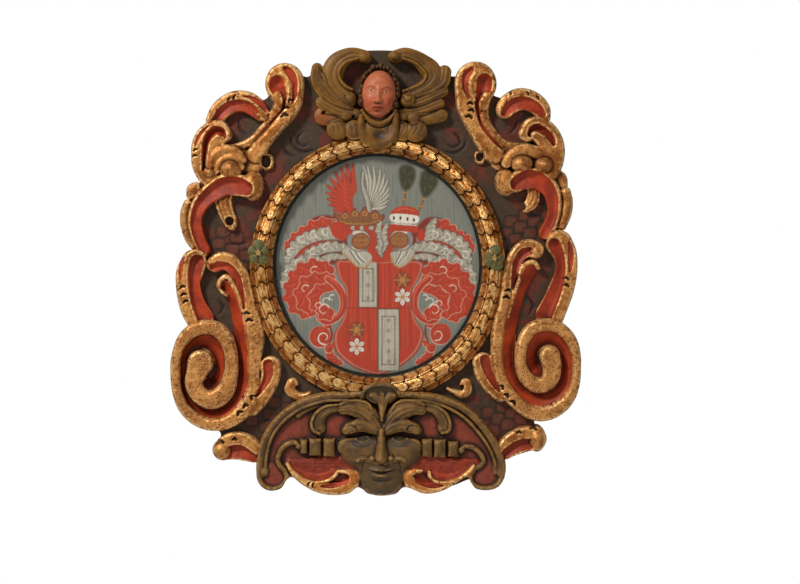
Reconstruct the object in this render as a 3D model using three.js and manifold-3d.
// Carved, gilded and painted wooden wall cartouche with an oval panel of arms.
// Millimetres, +Z up. The back lies flat on the wall at Y = 0 and the front faces -Y.
// The origin is on the back, behind the centre of the oval.
// A height is always measured from the wall, so a point at height h has Y = -h.

import * as THREE from "three";
import { mergeVertices } from "three/addons/utils/BufferGeometryUtils.js";
import Module from "manifold-3d";

const wasm = await Module();
wasm.setup();

// Driving dimensions

const BOARD_HEIGHT = 28;
const CARVING_BACK = 3;
const APPLIED_GAP = 0.3;
const APPLIED_BACK = BOARD_HEIGHT + APPLIED_GAP;
const CLEAR_OF_CARVING = 120;

const SIGHT_WIDTH = 408;
const SIGHT_HEIGHT = 438;
const PANEL_OVERLAP = 5;
const PANEL_THICKNESS = 9.7;
const POCKET_DEPTH = 10.3;
const POCKET_CLEARANCE = 1.5;

const FRAME_WIDTH = 514;
const FRAME_LENGTH = 539;
const FRAME_DROP = 6;
const FRAME_CREST_HEIGHT = 58;
const SCALES_PER_ROW = 48;
const SCALE_LIFT = 5;
const FACETS_PER_SCALE = 2;
// The tool that clears room for the frame has one facet per scale; this covers what its flats lose
const FRAME_TOOL_GROWTH = APPLIED_GAP + 0.6;

const OVAL_SEGMENTS = 32;
const DOME_SEGMENTS = 6;
const PIT_SEGMENTS = 5;
const HEAD_SEGMENTS = 11;
const SEAT_SEGMENTS = 42;
const SEAT_CLEARANCE = 1;
const SEAT_GROWTH = 1.004;
const SCROLL_TURN = THREE.MathUtils.degToRad(33);
const APPLIED_TURN = THREE.MathUtils.degToRad(58);
const TROUGH_TURN = THREE.MathUtils.degToRad(55);
const MAX_STEP = 80;
const MAX_WIDENING = 9;
const FINE_STEP = 2;
const BAND_END_ANGLES = [THREE.MathUtils.degToRad(62)];
const TROUGH_END_ANGLES = [THREE.MathUtils.degToRad(68)];

// A dome's round part is this share of its smaller half-width, and its crown this share of its width
const DOME_ROUNDING = 0.8;
const DOME_CROWN = 0.5;

// Cross-sections of a carved band: [across, drop below the top], both in half-widths

const BAND = [[-1, 0], [1, 0]];
const SOFT_BAND = [[-1, 0.4], [-0.72, 0], [0.72, 0], [1, 0.4]];
const ROLL = [[-1, 0.7], [0, 0], [1, 0.7]];
const MAX_DROP = 10;
const FLOOR_SHARE = 0.5;
const TROUGH_LIP = 1.5;
const NARROW_TROUGH = 10;

// Ground board outline, seen from the front, clockwise from the top

const BOARD_OUTLINE = [
  [-16, 432], [22, 432], [60, 428], [110, 400], [135, 385], [157, 380], [175, 392], [200, 398],
  [222, 380], [230, 345], [262, 335], [300, 338], [330, 310], [342, 284], [360, 250], [362, 190],
  [374, 172], [378, 120], [366, 68], [385, 40], [391, -20], [379, -75], [366, -116], [392, -165],
  [396, -240], [370, -288], [322, -306], [316, -318], [328, -345], [300, -365], [256, -378],
  [249, -425], [220, -444], [190, -430], [140, -446], [60, -446], [10, -455], [-40, -447], [-100, -450],
  [-150, -428], [-190, -428], [-212, -446], [-236, -425], [-240, -385], [-290, -380], [-325, -372],
  [-316, -338], [-350, -318], [-398, -280], [-406, -215], [-398, -160], [-374, -115], [-391, -70],
  [-395, -10], [-369, 28], [-386, 80], [-382, 125], [-370, 158], [-357, 170], [-364, 210], [-356, 255],
  [-341, 284], [-325, 315], [-280, 342], [-240, 332], [-220, 340], [-218, 372], [-195, 395],
  [-165, 390], [-142, 379], [-118, 396], [-60, 430],
];

// Scrollwork. Each band has a spine of [x, z, half-width] points and the height of its top.
// Its troughs are hollowed out of it along spines of their own.

const LEFT_SCROLLS = [
  {
    part: "crest scroll", top: 54, section: BAND,
    spine: [[-190, 366, 30], [-182, 345, 28], [-172, 325, 20], [-180, 303, 15], [-195, 284, 13],
      [-212, 264, 12.5], [-229, 244, 14], [-243, 222, 16]],
    troughs: [
      { depth: 10, spine: [[-182, 391, 6], [-172, 381, 8], [-165.5, 365, 6], [-165, 348, 5],
        [-169, 327, 3.5]] },
      { depth: 14, spine: [[-200, 364, 16], [-198, 352, 14], [-188, 338, 4.5], [-190, 312, 4],
        [-205, 294, 3.5]] },
    ],
  },
  {
    part: "crest tongue", top: 47, section: ROLL,
    spine: [[-200, 336, 9], [-200, 320, 9], [-208, 303, 9], [-219, 286, 8.5], [-233, 270, 8],
      [-248, 254, 8], [-265, 243, 7.5], [-290, 235, 7]],
  },
  {
    part: "shoulder arch", top: 52, section: BAND,
    spine: [[-327, 290, 17], [-318, 307, 18.5], [-302, 321, 20], [-282, 328.5, 21], [-262, 327, 21],
      [-246, 318, 20], [-234, 305, 16]],
    troughs: [
      { depth: 12, spine: [[-321, 289, 9], [-312, 304, 10.5], [-298, 315, 12], [-282, 319, 13],
        [-266, 318, 13], [-254, 311, 13], [-245, 299, 12]] },
      { depth: 7, spine: [[-258, 336, 3], [-243, 330, 6], [-231, 320, 6.5], [-224, 310, 4]] },
    ],
  },
  {
    part: "side scroll", top: 56, section: BAND,
    spine: [[-307, 262, 15], [-318, 270, 20], [-333, 262, 24], [-345, 243, 26], [-350, 220, 23],
      [-349, 200, 22], [-341, 180, 20]],
    troughs: [
      { depth: 16, spine: [[-305, 258, 5.5], [-312, 268, 8], [-324, 270, 8.5], [-336, 261, 8],
        [-344, 247, 6], [-347, 228, 5], [-348, 195, 4.5]] },
    ],
  },
  {
    part: "side tongue", top: 54, section: ROLL,
    spine: [[-315, 250, 9], [-326, 238, 9.5], [-334, 222, 8.5], [-337, 205, 8], [-338, 188, 8]],
  },
  {
    part: "plate under the crest", top: 45, section: BAND,
    spine: [[-318, 206, 18], [-296, 216, 22], [-275, 210, 24], [-252, 204, 22]],
  },
  {
    part: "red C-scroll", top: 60, section: BAND,
    spine: [[-258, 160, 24], [-280, 162, 22], [-304, 161, 21.5], [-325, 150, 20], [-342, 138, 18],
      [-356, 121, 16], [-364, 102, 15], [-366, 84, 14.5], [-363, 65, 14.5], [-357, 47, 14],
      [-349, 32, 13]],
    troughs: [
      { depth: 12, spine: [[-274, 158, 15], [-290, 161, 18], [-308, 157.5, 18.5], [-325, 148, 17],
        [-341, 135, 15.5], [-354, 119, 13.5], [-361, 102, 12.5], [-363, 84, 12.5], [-360, 65, 12.5],
        [-354, 47, 12], [-346, 32, 11]] },
    ],
  },
  {
    part: "short outer bead", top: 50, section: ROLL,
    spine: [[-364, 158, 9], [-371, 151, 14], [-376, 140, 9]],
  },
  {
    part: "long outer bead", top: 50, section: ROLL,
    spine: [[-381, 124, 8], [-386, 107, 9.5], [-387, 88, 9.5], [-383, 68, 9.5], [-377, 51, 8.5],
      [-368, 37, 7]],
  },
  {
    part: "ribbed tongue", top: 44, section: ROLL,
    spine: [[-309, 139, 17], [-308, 120, 16], [-302, 103, 15], [-296, 88, 14], [-293, 79, 10]],
  },
  {
    part: "lower side scroll", top: 55, section: BAND,
    spine: [[-368, 6, 25], [-377, -15, 26], [-380, -35, 24], [-377, -60, 24.5], [-369, -85, 26],
      [-356, -108, 27]],
    troughs: [
      { depth: 14, spine: [[-363, 6, 14], [-367, -12, 13.5], [-368, -32, 12], [-366, -52, 12.5],
        [-361, -72, 13], [-353, -92, 14.5], [-343, -112, 16]] },
      { depth: 6, spine: [[-389, 8, 5], [-393, -8, 5], [-394, -26, 3]] },
    ],
  },
  {
    part: "inner arch", top: 52, section: BAND,
    spine: [[-326, 2, 16], [-314, 8, 18], [-299, 6, 18], [-286, -5, 17], [-274, -21, 15.5],
      [-266, -42, 14], [-261, -65, 14], [-256, -90, 15]],
    troughs: [
      { depth: 11, spine: [[-328, -4, 8], [-318, -3, 11], [-304, -5, 11.5], [-292, -13, 10.5],
        [-282, -27, 8.5], [-275, -45, 6.5], [-269, -70, 4]] },
    ],
  },
  {
    part: "inner hook", top: 48, section: BAND,
    spine: [[-304, -40, 14], [-297, -55, 13.5], [-289, -73, 13], [-282, -97, 14], [-277, -122, 15]],
  },
  {
    part: "volute", top: 66, endTop: 52, section: SOFT_BAND,
    spine: [[-350, -193, 23], [-359, -214, 22], [-363, -235, 19], [-357, -254, 18.5],
      [-341, -266, 19.5], [-321, -264, 19.5], [-304, -248, 17], [-295, -225, 14], [-292, -200, 12.5],
      [-295, -170, 12.5], [-305, -145, 14], [-322, -128, 14.5], [-345, -124, 14], [-368, -130, 13.5],
      [-387, -146, 12], [-399, -168, 9.5], [-405, -195, 9], [-405, -225, 9], [-401, -255, 9.5],
      [-390, -283, 10.5], [-372, -303, 11.5], [-350, -315, 12.5], [-325, -319, 13], [-300, -314, 13.5],
      [-278, -300, 15], [-260, -281, 16], [-250, -258, 14], [-248, -235, 12], [-248, -205, 12],
      [-246, -175, 15], [-245, -150, 18], [-248, -125, 18.5], [-254, -98, 16]],
  },
  {
    part: "leaf beside the volute", top: 51, section: BAND,
    spine: [[-214, -203, 21], [-215, -225, 19], [-223, -248, 17], [-236, -270, 16], [-252, -288, 15]],
    troughs: [
      { depth: 10, spine: [[-220, -200, 10.5], [-219, -215, 9.5], [-223, -230, 8], [-230, -243, 6],
        [-239, -257, 4]] },
    ],
  },
  {
    part: "small curl", top: 42, section: ROLL,
    spine: [[-171, -238, 12], [-176, -250, 11], [-165, -261, 9], [-150, -262, 6], [-136, -257, 3.5]],
  },
  {
    part: "foot scroll", top: 50, section: BAND,
    spine: [[-312, -371, 20], [-298, -364, 26], [-280, -362, 28], [-262, -367, 26], [-247, -376, 20]],
    troughs: [
      { depth: 12, spine: [[-297, -377, 10], [-285, -373, 13], [-270, -373, 11], [-256, -379, 9]] },
    ],
  },
];

const RIGHT_SCROLLS = [
  {
    part: "crest scroll", top: 54, section: BAND,
    spine: [[197, 366, 32], [190, 344, 31], [184, 322, 26], [184, 302, 18], [190, 284, 15],
      [201, 264, 15], [216, 243, 17], [234, 223, 20]],
    troughs: [
      { depth: 9, spine: [[186, 389, 7.5], [178, 382, 8], [176, 366, 6.5], [178, 350, 5.5],
        [183, 336, 4]] },
      { depth: 15, spine: [[214, 368, 16], [212, 352, 15], [202, 336, 5], [201, 312, 4.5],
        [207, 288, 4], [218, 266, 4], [236, 245, 3.5]] },
    ],
  },
  {
    part: "crest tongue", top: 47, section: ROLL,
    spine: [[220, 337, 9], [215, 321, 9], [213, 304, 9.5], [217, 287, 9.5], [227, 269, 9.5],
      [241, 253, 9], [258, 241, 8], [290, 234, 7]],
  },
  {
    part: "shoulder arch", top: 52, section: BAND,
    spine: [[255, 312, 18], [263, 322, 21], [281, 332, 22], [299, 332, 21], [315, 325, 20],
      [329, 312, 17], [337, 296, 10]],
    troughs: [
      { depth: 12, spine: [[257, 309, 11], [265, 317, 12], [279, 325, 13], [295, 325, 12.5],
        [309, 320, 12], [321, 312, 10], [330, 302, 6]] },
    ],
  },
  {
    part: "side scroll", top: 56, section: BAND,
    spine: [[300, 264, 17], [312, 274, 22], [330, 268, 25], [343, 252, 26], [350, 232, 25],
      [350, 210, 23], [346, 190, 20]],
    troughs: [
      { depth: 15, spine: [[305, 262, 6], [310, 271, 7.5], [320, 275, 8], [332, 268, 8], [343, 258, 8],
        [350, 251, 5]] },
    ],
  },
  {
    part: "side tongue", top: 54, section: ROLL,
    spine: [[317, 260, 9], [329, 249, 11], [338, 235, 10], [345, 218, 10], [349, 200, 9]],
  },
  {
    part: "plate under the crest", top: 45, section: BAND,
    spine: [[245, 208, 19], [266, 218, 24], [292, 220, 26], [318, 214, 22], [334, 204, 16]],
  },
  {
    part: "red C-scroll", top: 60, section: BAND,
    spine: [[258, 165, 24], [278, 170, 23], [302, 175, 21.5], [321, 173, 20], [336, 163, 19],
      [348, 148, 17], [353.5, 130, 15], [355, 112, 13.5], [352, 94, 14], [345, 78, 14], [335, 64, 12]],
    troughs: [
      { depth: 12, spine: [[277, 163, 14], [288, 169, 18], [303, 174, 18], [320, 171, 17.5],
        [333, 161, 17], [344, 148, 14.5], [350, 130, 12.5], [351, 112, 11.5], [348, 94, 12],
        [341, 78, 12.5], [331, 64, 10]] },
    ],
  },
  {
    part: "short outer bead", top: 50, section: ROLL,
    spine: [[360, 182, 9], [367, 174, 14], [373, 161, 10]],
  },
  {
    part: "long outer bead", top: 50, section: ROLL,
    spine: [[377, 146, 11], [380, 126, 12], [377, 102, 12], [369, 79, 10]],
  },
  {
    part: "ribbed tongue", top: 44, section: ROLL,
    spine: [[312, 152, 12], [313, 138, 13], [309, 124, 13], [300, 115, 9]],
  },
  {
    part: "lower side scroll", top: 55, section: BAND,
    spine: [[364, 44, 26], [375, 24, 23.5], [379, 0, 21.5], [376, -25, 22.5], [368, -50, 25],
      [358, -75, 26], [346, -100, 28]],
    troughs: [
      { depth: 14, spine: [[356, 41, 12], [364, 22, 10], [368, 0, 9], [366, -22, 10], [360, -44, 12],
        [351, -66, 13.5], [342, -86, 14.5], [332, -108, 16]] },
      { depth: 6, spine: [[385, 38, 6], [387, 16, 6], [385, -8, 4]] },
    ],
  },
  {
    part: "inner arch", top: 52, section: BAND,
    spine: [[316, 31, 17], [300, 34, 18], [284, 24, 17], [271, 3, 15.5], [263, -25, 13], [259, -50, 12],
      [254, -80, 12]],
    troughs: [
      { depth: 11, spine: [[303, 28, 8], [292, 24, 9], [283, 12, 8.5], [277, -6, 6.5], [273, -34, 4]] },
    ],
  },
  {
    part: "inner hook", top: 48, section: BAND,
    spine: [[306, -10, 16], [297, -27, 15.5], [286, -48, 15], [278, -73, 15], [270, -102, 15.5],
      [264, -130, 16]],
  },
  {
    part: "volute", top: 66, endTop: 52, section: SOFT_BAND,
    spine: [[344, -182, 20], [349, -203, 17.5], [346, -224, 17], [334, -237, 16], [317, -239, 15],
      [301, -229, 13.5], [290, -212, 11.5], [286, -190, 10.5], [288, -165, 11], [296, -143, 12],
      [310, -127, 12.5], [332, -119.5, 12.5], [356, -122, 12.5], [376, -136, 12], [390, -156, 11],
      [397, -180, 9.5], [398, -205, 9], [396, -232, 9.5], [388, -258, 11], [372, -279, 13],
      [350, -293, 14.5], [325, -298, 15], [300, -291, 14], [278, -275, 14], [260, -255, 14],
      [248, -232, 13], [242, -205, 12], [239, -175, 12], [240, -145, 13], [245, -115, 13],
      [252, -85, 12]],
  },
  {
    part: "leaf beside the volute", top: 51, section: BAND,
    spine: [[211, -196, 21], [216, -218, 20], [229, -240, 18], [246, -257, 17]],
    troughs: [
      { depth: 10, spine: [[216, -190, 10], [219, -205, 9], [226, -222, 7.5], [236, -240, 5]] },
    ],
  },
  {
    part: "small curl", top: 42, section: ROLL,
    spine: [[177, -239, 12], [178, -252, 11], [167, -259, 8], [153, -254, 5.5], [141, -248, 3.5]],
  },
  {
    part: "foot scroll", top: 50, section: BAND,
    spine: [[318, -348, 21], [302, -348, 25], [284, -353, 25], [266, -362, 22], [255, -372, 18]],
    troughs: [
      { depth: 12, spine: [[300, -359, 11], [288, -360, 11], [274, -366, 10], [260, -374, 9]] },
    ],
  },
];

// Domes: centre x, z, half-width, half-height, height of the top

const DOMES = [
  { part: "left ball", x: -252, z: 162, wide: 22, tall: 27, top: 64 },
  { part: "right ball", x: 254, z: 165, wide: 18, tall: 25, top: 64 },
  { part: "left knob by the bead", x: -336, z: 184, wide: 15, tall: 14, top: 54 },
  { part: "left knob under the plate", x: -295, z: 196, wide: 24, tall: 17, top: 56 },
  { part: "right knob under the plate", x: 287, z: 202, wide: 24, tall: 17, top: 56 },
  { part: "right knob by the bead", x: 331, z: 198, wide: 20, tall: 18, top: 56 },
  { part: "left eyelet", x: -222, z: 208, wide: 14, tall: 18, top: 42 },
  { part: "right eyelet", x: 206, z: 217, wide: 12, tall: 15, top: 42 },
  { part: "left foot ball", x: -312, z: -371, wide: 20, tall: 20, top: 56 },
  { part: "right foot ball", x: 320, z: -347, wide: 18, tall: 24, top: 56 },
];

// The round heads of the two crest scrolls: flat-topped ovals

const CREST_HEADS = [
  { part: "left crest head", x: -185.5, z: 362, wide: 40.5, tall: 44, top: 54 },
  { part: "right crest head", x: 196, z: 362, wide: 43, tall: 47, top: 54 },
];

// Pits of the eyelets, which stop at the ground
const EYELET_PITS = [
  { x: -223.5, z: 208, wide: 7.5, tall: 11.5 },
  { x: 205, z: 217, wide: 7, tall: 9.5 },
];

// Applied cherub: wing feathers, collar and bib, all as bands, and rounded lobes

const WING_BANDS = [
  { part: "left top band", top: 58, section: ROLL,
    spine: [[-30, 422, 11], [-46, 425, 11], [-63, 422, 14], [-79, 414, 18], [-90, 401, 20],
      [-95, 385, 21], [-91, 368, 20], [-80, 352, 18], [-62, 340, 15]] },
  { part: "left outer feather", top: 54, section: ROLL,
    spine: [[-119, 392, 11], [-118, 373, 10], [-108, 356, 12], [-94, 340, 13], [-76, 325, 13],
      [-52, 312, 10]] },
  { part: "left middle feather", top: 50, section: ROLL,
    spine: [[-106, 328, 11], [-90, 314, 13], [-68, 300, 13], [-42, 298, 9]] },
  { part: "left lower feather", top: 46, section: ROLL,
    spine: [[-113, 297, 15], [-95, 290, 15], [-70, 284, 12]] },
  { part: "right top band", top: 58, section: ROLL,
    spine: [[36, 421, 12], [55, 424, 11], [75, 419, 13], [93, 408, 16], [107, 392, 19], [112, 374, 19],
      [104, 357, 17], [86, 347, 14], [62, 338, 15]] },
  { part: "right outer feather", top: 54, section: ROLL,
    spine: [[132, 381, 15], [128, 362, 13], [114, 346, 12], [94, 335, 12], [68, 328, 12]] },
  { part: "right middle feather", top: 50, section: ROLL,
    spine: [[126, 336, 9], [104, 322, 12], [74, 310, 13], [36, 300, 12]] },
  { part: "right lower feather", top: 46, section: ROLL,
    spine: [[122, 299, 16], [104, 287, 15], [80, 280, 13]] },
  { part: "collar", top: 56, section: ROLL,
    spine: [[-32, 312, 8], [-19, 290, 8], [3, 281, 8], [24, 291, 8], [33, 312, 8]] },
  { part: "bib rim", top: 66, section: ROLL,
    spine: [[-31, 286, 9], [-27, 257, 11], [2, 242, 13], [30, 257, 11], [32, 286, 9]] },
];

const WING_LOBES = [
  { part: "left inner lobe", x: -52, z: 336, wide: 16, tall: 16, top: 62 },
  { part: "left top curl", x: -28, z: 417, wide: 14, tall: 13, top: 62 },
  { part: "left lower lobe", x: -79, z: 270, wide: 20, tall: 20, top: 44 },
  { part: "left second lobe", x: -48, z: 272, wide: 18, tall: 20, top: 44 },
  { part: "right inner lobe", x: 60, z: 332, wide: 16, tall: 16, top: 62 },
  { part: "right top curl", x: 36, z: 418, wide: 15, tall: 13, top: 62 },
  { part: "right lower lobe", x: 76, z: 264, wide: 23, tall: 20, top: 44 },
  { part: "right second lobe", x: 47, z: 270, wide: 17, tall: 24, top: 44 },
  { part: "bib", x: 2, z: 262, wide: 37, tall: 33, top: 54 },
];

// The head: its parts are set out from its height, by the usual halves and thirds

const HEAD = { x: 2, z: 344, tall: 106, wide: 66, top: 98 };
const HAIR = { setback: 14, rise: 8, wide: 80, tall: 110, deep: 58 };
const NOSE = { drop: 9, wide: 10, tall: 23, deep: 14 };

// Applied grotesque mask: the plate it is carved from, its border, leaves and side bars

const MASK_PLATE_TOP = 42;
const MASK_MIDDLE = -345;
const MASK_OUTLINE = [
  [-30, -250], [-90, -254], [-140, -262], [-180, -284], [-218, -321], [-238, -366], [-243, -415],
  [-232, -443], [-209, -452], [-188, -442], [-176, -424], [-145, -440], [-100, -452], [-60, -452],
  [-36, -442], [-20, -458], [10, -462], [42, -456], [60, -440], [85, -452], [130, -450], [165, -436],
  [184, -428], [196, -446], [222, -451], [246, -439], [257, -412], [253, -375], [232, -336],
  [195, -296], [150, -268], [100, -255], [45, -251], [26, -238], [-10, -238],
];

const MASK_BANDS = [
  { part: "left border", top: 63, endTop: 53, section: BAND,
    spine: [[-34, -262, 8], [-90, -262, 8], [-138, -270, 8], [-176, -291, 8], [-210, -325, 8],
      [-230, -368, 8], [-234, -408, 8]] },
  { part: "right border", top: 63, endTop: 53, section: BAND,
    spine: [[46, -262, 8], [100, -264, 8], [147, -277, 8], [190, -304, 8], [225, -342, 8],
      [245, -378, 8], [248, -414, 8]] },
  { part: "left foot", top: 52, section: BAND,
    spine: [[-214, -424, 27], [-206, -421, 25]] },
  { part: "right foot", top: 52, section: BAND,
    spine: [[226, -420, 29], [214, -417, 28]] },
  { part: "left C-leaf", top: 54, section: ROLL,
    spine: [[-82, -287, 9], [-103, -290, 10], [-116, -303, 11], [-119, -318, 12], [-114, -328, 12]] },
  { part: "right C-leaf", top: 54, section: ROLL,
    spine: [[100, -285, 9], [118, -289, 10], [131, -303, 11], [134, -318, 11], [129, -327, 11]] },
  { part: "left brow leaf", top: 66, endTop: 58, section: ROLL,
    spine: [[4, -326, 10], [-10, -304, 14], [-24, -285, 15], [-46, -275, 15], [-68, -282, 14]] },
  { part: "right brow leaf", top: 66, endTop: 58, section: ROLL,
    spine: [[14, -326, 10], [28, -304, 14], [43, -286, 15], [65, -277, 15], [87, -284, 13]] },
  { part: "palmette", top: 66, section: ROLL,
    spine: [[9, -262, 17], [10, -276, 11], [10, -300, 6]] },
  { part: "crest hood", top: 64, section: ROLL,
    spine: [[-26, -256, 6], [-12, -245, 7], [8, -242, 8], [28, -245, 7], [42, -256, 6]] },
  { part: "left moulding", top: 52, section: ROLL,
    spine: [[-146, -362, 9], [-166, -352, 6], [-188, -361, 5], [-198, -394, 6]] },
  { part: "right moulding", top: 52, section: ROLL,
    spine: [[166, -366, 7], [188, -363, 6], [207, -376, 6], [210, -394, 6]] },
  { part: "left gold leaf", top: 57, section: BAND,
    spine: [[-172, -404, 7], [-152, -424, 12], [-126, -436, 18], [-98, -439, 21], [-70, -436, 23],
      [-58, -434, 22]],
    troughs: [
      { depth: 8, spine: [[-166, -405, 3], [-146, -418, 6], [-122, -426, 8], [-100, -423, 7],
        [-86, -414, 4]] },
      { depth: 8, spine: [[-66, -427, 9], [-78, -437, 5]] },
    ] },
  { part: "right gold leaf", top: 57, section: BAND,
    spine: [[188, -404, 8], [168, -422, 13], [142, -433, 18], [114, -436, 21], [88, -433, 23],
      [77, -431, 22]],
    troughs: [
      { depth: 8, spine: [[184, -404, 5], [164, -416, 8], [140, -423, 8], [118, -420, 6]] },
      { depth: 8, spine: [[88, -424, 11], [100, -436, 6]] },
    ] },
];

// Upright bars beside the face, all of one height: [middle, half-width]
const BAR_TOP = 54;
const BAR_LOW = -384;
const BAR_HIGH = -348;
const BARS = [[-124, 13], [-94, 12], [98, 10], [125, 12], [150, 10]];

// The mask's face stands on the middle of the plate: each feature's full width, depth and height
const MASK_FACE = {
  x: 8,
  cheeks: { z: -384, wide: 150, deep: 48, tall: 126 },
  chin: { z: -444, wide: 90, deep: 60, tall: 42 },
  nose: { z: -384, wide: 30, deep: 40, tall: 57, height: 64 },
  nostrils: { z: -396, wide: 57, deep: 26, tall: 21, height: 64 },
};

// Rosettes, fixed on the frame's crest: centre, and each petal's direction in degrees and its reach

const ROSETTE_BACK = FRAME_CREST_HEIGHT + SCALE_LIFT / 2 + APPLIED_GAP;
const PETAL_FRONT = 66;
const BUTTON_FRONT = 70;
const BUTTON_RADIUS = 6;
const PETAL_SHAPE = [[-0.36, 0.93], [0, 1], [0.36, 0.93], [0.5, 0.78]];
const LEFT_ROSETTE = { x: -237, z: 24, petals: [[90, 27], [162, 22], [234, 24], [306, 26], [378, 21]] };
const RIGHT_ROSETTE = { x: 233, z: 14, petals: [[80, 26], [155, 18], [222, 22], [290, 27], [350, 19]] };

// Materials

function paint(color, roughness, metalness = 0) {
  return new THREE.MeshStandardMaterial({ color, roughness, metalness });
}

const gilding = paint(0xa87832, 0.45, 0.4);
const wreathGilding = paint(0xb9883c, 0.4, 0.4);
const panelPaint = paint(0x82878a, 0.6);
const ochrePaint = paint(0x8c6a34, 0.65);
const maskPaint = paint(0x6e5530, 0.65);
const greenPaint = paint(0x55603c, 0.7);

// Solids and meshes

function solidOf(positions, indices) {
  const raw = new THREE.BufferGeometry();
  raw.setAttribute("position", new THREE.Float32BufferAttribute(positions, 3));
  raw.setIndex(indices);
  return solidOfGeometry(raw);
}

function solidOfGeometry(geometry) {
  const bare = geometry.clone();
  bare.deleteAttribute("normal");
  bare.deleteAttribute("uv");
  const merged = mergeVertices(bare, 1e-4);
  return new wasm.Manifold(new wasm.Mesh({
    numProp: 3,
    vertProperties: new Float32Array(merged.attributes.position.array),
    triVerts: new Uint32Array(merged.index.array),
  }));
}

function unite(solids) {
  return solids.reduce((whole, solid) => whole.add(solid));
}

function cut(solid, cutters) {
  return cutters.reduce((left, cutter) => left.subtract(cutter), solid);
}

// Rounds the corners to 0.1 micrometre, joins those that meet and leaves out what this flattens
function meshOf(name, solid, material) {
  const mesh = solid.getMesh();
  const rounded = Array.from(mesh.vertProperties, (value) => Math.round(value * 1e4) / 1e4);
  const raw = new THREE.BufferGeometry();
  raw.setAttribute("position", new THREE.Float32BufferAttribute(rounded, 3));
  raw.setIndex(Array.from(mesh.triVerts));
  const geometry = mergeVertices(raw, 1e-4);
  const corners = Array.from(geometry.index.array);
  const kept = [];
  for (let i = 0; i < corners.length; i += 3) {
    const [a, b, c] = corners.slice(i, i + 3);
    if (a !== b && b !== c && c !== a) {
      kept.push(a, b, c);
    }
  }
  geometry.setIndex(kept);
  geometry.computeVertexNormals();
  const piece = new THREE.Mesh(geometry, material);
  piece.name = name;
  return piece;
}

// Picks as few stations as keep the turn between two of them small
function stationsAlong(spine, maxTurn) {
  const curve = new THREE.CatmullRomCurve3(spine.map(([x, z, half]) => new THREE.Vector3(x, z, half)));
  const count = Math.max(4, Math.ceil(curve.getLength() / FINE_STEP));
  const fine = curve.getSpacedPoints(count);
  const kept = [];
  let lastHeading = 0;
  let lastHalf = 0;
  let lastKept = -Infinity;
  for (let i = 0; i <= count; i += 1) {
    const before = fine[Math.max(0, i - 1)];
    const after = fine[Math.min(count, i + 1)];
    const heading = Math.atan2(after.y - before.y, after.x - before.x);
    const turn = Math.abs(Math.atan2(Math.sin(heading - lastHeading), Math.cos(heading - lastHeading)));
    const widening = Math.abs(fine[i].z - lastHalf);
    const isEnd = i === 0 || i === count;
    if (isEnd || turn > maxTurn || widening > MAX_WIDENING || (i - lastKept) * FINE_STEP > MAX_STEP) {
      kept.push({ x: fine[i].x, z: fine[i].y, half: fine[i].z, heading, along: i / count });
      lastHeading = heading;
      lastHalf = fine[i].z;
      lastKept = i;
    }
  }
  return kept;
}

// Adds rounded ends: stations that step outwards and narrow as a half circle does
function withRoundEnds(stations, angles) {
  const cap = (station, sign) => angles.map((angle) => ({
    ...station,
    x: station.x + sign * Math.cos(station.heading) * station.half * Math.sin(angle),
    z: station.z + sign * Math.sin(station.heading) * station.half * Math.sin(angle),
    half: station.half * Math.cos(angle),
    dropHalf: station.half,
  }));
  return [...cap(stations[0], -1).reverse(), ...stations, ...cap(stations.at(-1), 1)];
}

// Joins rings of equal length into one closed solid
function loft(rings) {
  const size = rings[0].length;
  const positions = rings.flat(2);
  const indices = [];
  for (let r = 0; r + 1 < rings.length; r += 1) {
    for (let k = 0; k < size; k += 1) {
      const a = r * size + k;
      const b = r * size + ((k + 1) % size);
      indices.push(a, b, a + size, b, b + size, a + size);
    }
  }
  const last = (rings.length - 1) * size;
  for (let k = 1; k + 1 < size; k += 1) {
    indices.push(0, k + 1, k);
    indices.push(last, last + k, last + k + 1);
  }
  return solidOf(positions, indices);
}

// The scrolls make the silhouette, so they are cut finer than what is applied in front of the board
function turnLimit(back) {
  return back < BOARD_HEIGHT ? SCROLL_TURN : APPLIED_TURN;
}

// One carved band, from its back at the given height to its top
function band({ spine, section, top, endTop = top }, back) {
  const rings = withRoundEnds(stationsAlong(spine, turnLimit(back)), BAND_END_ANGLES).map((station) => {
    const topHere = THREE.MathUtils.lerp(top, endTop, station.along);
    const dropScale = station.dropHalf ?? station.half;
    const across = [Math.sin(station.heading), -Math.cos(station.heading)];
    const point = (u, height) => [station.x + across[0] * u * station.half, -height,
      station.z + across[1] * u * station.half];
    const surface = section.map(([u, drop]) => point(u, topHere - Math.min(drop * dropScale, MAX_DROP)));
    return [point(-1, back), ...surface, point(1, back)];
  });
  return loft(rings);
}

// The tool that hollows out one trough, open to the front
function troughCutter({ spine, depth }, top) {
  const widest = Math.max(...spine.map(([, , half]) => half));
  const floorSides = widest < NARROW_TROUGH ? [0] : [-FLOOR_SHARE, FLOOR_SHARE];
  const rings = withRoundEnds(stationsAlong(spine, TROUGH_TURN), TROUGH_END_ANGLES).map((station) => {
    const across = [-Math.sin(station.heading), Math.cos(station.heading)];
    const point = (u, height) => [station.x + across[0] * u * station.half, -height,
      station.z + across[1] * u * station.half];
    const floor = floorSides.map((side) => point(side, top - depth));
    return [point(-1, top - TROUGH_LIP), ...floor, point(1, top - TROUGH_LIP), point(1, CLEAR_OF_CARVING),
      point(-1, CLEAR_OF_CARVING)];
  });
  return loft(rings);
}

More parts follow.
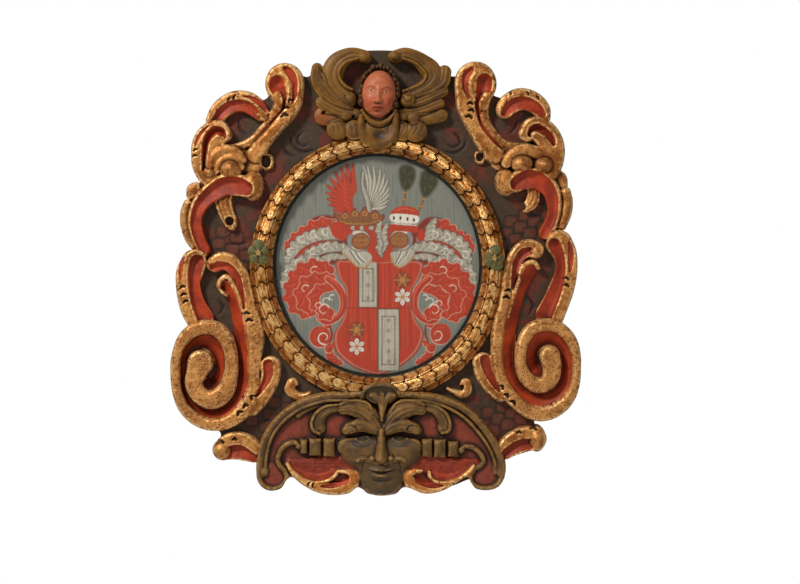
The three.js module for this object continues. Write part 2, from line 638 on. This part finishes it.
// A rounded lobe standing on a straight-sided foot
function dome({ x, z, wide, tall, top }, back) {
  const foot = Math.max(back + 1, top - DOME_ROUNDING * Math.min(wide, tall));
  const levels = [[1, back], [1, foot], [DOME_CROWN, top]];
  const rings = levels.map(([scale, height]) => Array.from({ length: DOME_SEGMENTS }, (_, k) => {
    const angle = (2 * Math.PI * k) / DOME_SEGMENTS;
    return [x + wide * scale * Math.cos(angle), -height, z + tall * scale * Math.sin(angle)];
  }));
  return loft(rings);
}

// Bands, with any extra solids that stand among them, less all their troughs
function carve(bands, back, extras = []) {
  const solids = bands.map((each) => band(each, back));
  const cutters = bands.flatMap(({ troughs = [], top }) => (
    troughs.map((trough) => troughCutter(trough, top))));
  return cut(unite([...solids, ...extras]), cutters);
}

// A flat plate with the given outline, between two heights
function plate(outline, back, front) {
  const shape = new THREE.Shape(outline.map(([x, z]) => new THREE.Vector2(x, z)));
  const geometry = new THREE.ExtrudeGeometry(shape, { depth: front - back, bevelEnabled: false });
  geometry.rotateX(Math.PI / 2);
  geometry.translate(0, -back, 0);
  return solidOfGeometry(geometry);
}

function oval(halfWidth, halfHeight, segments = OVAL_SEGMENTS, x = 0, z = 0) {
  return Array.from({ length: segments }, (_, k) => {
    const angle = (2 * Math.PI * k) / segments;
    return [x + halfWidth * Math.cos(angle), z + halfHeight * Math.sin(angle)];
  });
}

function ellipsoid([x, height, z], [wide, deep, tall], around = 8, over = 6) {
  const geometry = new THREE.SphereGeometry(1, around, over);
  geometry.rotateX(Math.PI / 2);
  geometry.scale(wide / 2, deep / 2, tall / 2);
  geometry.translate(x, -height, z);
  return solidOfGeometry(geometry);
}

function box([left, right], [back, front], [low, high]) {
  const geometry = new THREE.BoxGeometry(right - left, front - back, high - low);
  geometry.translate((left + right) / 2, -(back + front) / 2, (low + high) / 2);
  return solidOfGeometry(geometry);
}

// Cartouche body

function makeBody() {
  const board = plate(BOARD_OUTLINE, 0, BOARD_HEIGHT);
  const scrolls = [...LEFT_SCROLLS, ...RIGHT_SCROLLS];
  const heads = CREST_HEADS.map(({ x, z, wide, tall, top }) => (
    plate(oval(wide, tall, HEAD_SEGMENTS, x, z), CARVING_BACK, top)));
  const carving = carve(scrolls, CARVING_BACK, heads);
  const domes = DOMES.map((each) => dome(each, CARVING_BACK));
  const pocketGrowth = PANEL_OVERLAP + POCKET_CLEARANCE;
  const pocketOutline = oval(SIGHT_WIDTH / 2 + pocketGrowth, SIGHT_HEIGHT / 2 + pocketGrowth);
  const pocket = plate(pocketOutline, BOARD_HEIGHT - POCKET_DEPTH, CLEAR_OF_CARVING);
  const pits = EYELET_PITS.map(({ x, z, wide, tall }) => (
    plate(oval(wide, tall, PIT_SEGMENTS, x, z), BOARD_HEIGHT, CLEAR_OF_CARVING)));
  const seatWidth = FRAME_WIDTH / 2 + SEAT_CLEARANCE;
  const seatHeight = FRAME_LENGTH / 2 + SEAT_CLEARANCE;
  const seatOutline = oval(seatWidth, seatHeight, SEAT_SEGMENTS, 0, -FRAME_DROP);
  const seat = plate(seatOutline, BOARD_HEIGHT, CLEAR_OF_CARVING);
  const maskSeatOutline = MASK_OUTLINE.map(([x, z]) => (
    [x * SEAT_GROWTH, MASK_MIDDLE + (z - MASK_MIDDLE) * SEAT_GROWTH]));
  const maskSeat = plate(maskSeatOutline, BOARD_HEIGHT, CLEAR_OF_CARVING);
  const solid = cut(unite([board, carving, ...domes]), [pocket, seat, maskSeat, ...pits]);
  return meshOf("cartouche_body", solid, gilding);
}

// Wreath frame: three rows of overlapping scales whose tips run down from the top and up from the foot

const FRAME_PROFILE = [
  { out: 0, height: 34, scaled: false },
  { out: 0.2, height: 46, scaled: true },
  { out: 0.5, height: FRAME_CREST_HEIGHT, scaled: true },
  { out: 0.78, height: FRAME_CREST_HEIGHT - 5, scaled: true },
  { out: 1, height: 40, scaled: false },
];

// Every second station is a scale's tip, and the tips of all rows lie side by side
function scaleLift(station, scaled) {
  if (!scaled) {
    return 0;
  }
  return station % 2 === 0 ? SCALE_LIFT / 2 : -SCALE_LIFT / 2;
}

// The frame, or with a growth and fewer facets the tool that clears room for it
function frameSolid(grow = 0, facets = FACETS_PER_SCALE) {
  const steps = SCALES_PER_ROW * facets;
  const rings = Array.from({ length: steps }, (_, k) => {
    const turn = k / steps;
    const angle = 2 * Math.PI * turn + Math.PI / 2;
    const point = (out, height) => {
      const side = grow * (2 * out - 1);
      const halfWidth = THREE.MathUtils.lerp(SIGHT_WIDTH / 2, FRAME_WIDTH / 2, out) + side;
      const halfHeight = THREE.MathUtils.lerp(SIGHT_HEIGHT / 2, FRAME_LENGTH / 2, out) + side;
      return [halfWidth * Math.cos(angle), -height, halfHeight * Math.sin(angle) - FRAME_DROP * out];
    };
    const surface = FRAME_PROFILE.map(({ out, height, scaled }) => (
      point(out, height + scaleLift((k * FACETS_PER_SCALE) / facets, scaled) + grow)));
    return [point(0, APPLIED_BACK - grow), ...surface, point(1, APPLIED_BACK - grow)];
  });
  const size = rings[0].length;
  const indices = [];
  for (let r = 0; r < steps; r += 1) {
    const next = ((r + 1) % steps) * size;
    for (let k = 0; k < size; k += 1) {
      const a = r * size + k;
      const b = r * size + ((k + 1) % size);
      const c = next + k;
      const d = next + ((k + 1) % size);
      indices.push(a, b, c, b, d, c);
    }
  }
  return solidOf(rings.flat(2), indices);
}

// Painted panel

function makePanel() {
  const outline = oval(SIGHT_WIDTH / 2 + PANEL_OVERLAP, SIGHT_HEIGHT / 2 + PANEL_OVERLAP);
  const back = BOARD_HEIGHT - POCKET_DEPTH + APPLIED_GAP;
  return meshOf("painted_panel", plate(outline, back, back + PANEL_THICKNESS), panelPaint);
}

// Cherub head and wings: a wing on each side, the head in front of them and the collar and bib below

function makeCherub() {
  const { x, z, tall, wide, top } = HEAD;
  const middle = (APPLIED_BACK + top) / 2;
  const skull = ellipsoid([x, middle, z], [wide, top - APPLIED_BACK, tall]);
  const hair = ellipsoid([x, middle - HAIR.setback, z + HAIR.rise], [HAIR.wide, HAIR.deep, HAIR.tall]);
  const nose = ellipsoid([x, top, z - NOSE.drop], [NOSE.wide, NOSE.deep, NOSE.tall], 5, 4);
  const wings = WING_BANDS.map((each) => band(each, APPLIED_BACK));
  const lobes = WING_LOBES.map((each) => dome(each, APPLIED_BACK));
  const whole = unite([...wings, ...lobes, hair, skull, nose]);
  return meshOf("cherub_head_and_wings", clearOfNeighbours(whole), ochrePaint);
}

// Grotesque mask: a plate with a raised border, brow leaves, bars at its sides and a face in the middle

function makeMask() {
  const base = plate(MASK_OUTLINE, APPLIED_BACK, MASK_PLATE_TOP);
  const bars = BARS.map(([middle, half]) => (
    box([middle - half, middle + half], [APPLIED_BACK, BAR_TOP], [BAR_LOW, BAR_HIGH])));
  const { x, cheeks, chin, nose, nostrils } = MASK_FACE;
  const face = [cheeks, chin, nose, nostrils].map(({ z, wide, deep, tall, height = MASK_PLATE_TOP }) => (
    ellipsoid([x, height, z], [wide, deep, tall])));
  const whole = carve(MASK_BANDS, APPLIED_BACK, [base, ...bars, ...face]);
  return meshOf("grotesque_mask", clearOfNeighbours(whole), maskPaint);
}

// Gives an applied carving a flat back and keeps it clear of the frame
function clearOfNeighbours(solid) {
  const across = [-FRAME_WIDTH, FRAME_WIDTH];
  const upward = [-FRAME_LENGTH, FRAME_LENGTH];
  const behind = box(across, [APPLIED_BACK - CLEAR_OF_CARVING, APPLIED_BACK], upward);
  return cut(solid, [behind, frameSolid(FRAME_TOOL_GROWTH, 1)]);
}

// Rosettes: a round button with lobed petals; the right one has lost part of its petals

function makeRosette(name, { x, z, petals }) {
  const pitch = 360 / petals.length;
  const outline = petals.flatMap(([angle, reach]) => PETAL_SHAPE.map(([offset, share]) => {
    const turn = THREE.MathUtils.degToRad(angle + offset * pitch);
    return [x + reach * share * Math.cos(turn), z + reach * share * Math.sin(turn)];
  }));
  const petalPlate = plate(outline, ROSETTE_BACK, PETAL_FRONT);
  const buttonShape = { x, z, wide: BUTTON_RADIUS, tall: BUTTON_RADIUS, top: BUTTON_FRONT };
  const button = dome(buttonShape, ROSETTE_BACK);
  return meshOf(name, petalPlate.add(button), greenPaint);
}

const part = new THREE.Group();
part.add(makeBody());
part.add(meshOf("wreath_frame", frameSolid(), wreathGilding));
part.add(makePanel());
part.add(makeCherub());
part.add(makeMask());
part.add(makeRosette("rosette_left", LEFT_ROSETTE));
part.add(makeRosette("rosette_right", RIGHT_ROSETTE));

export default part;
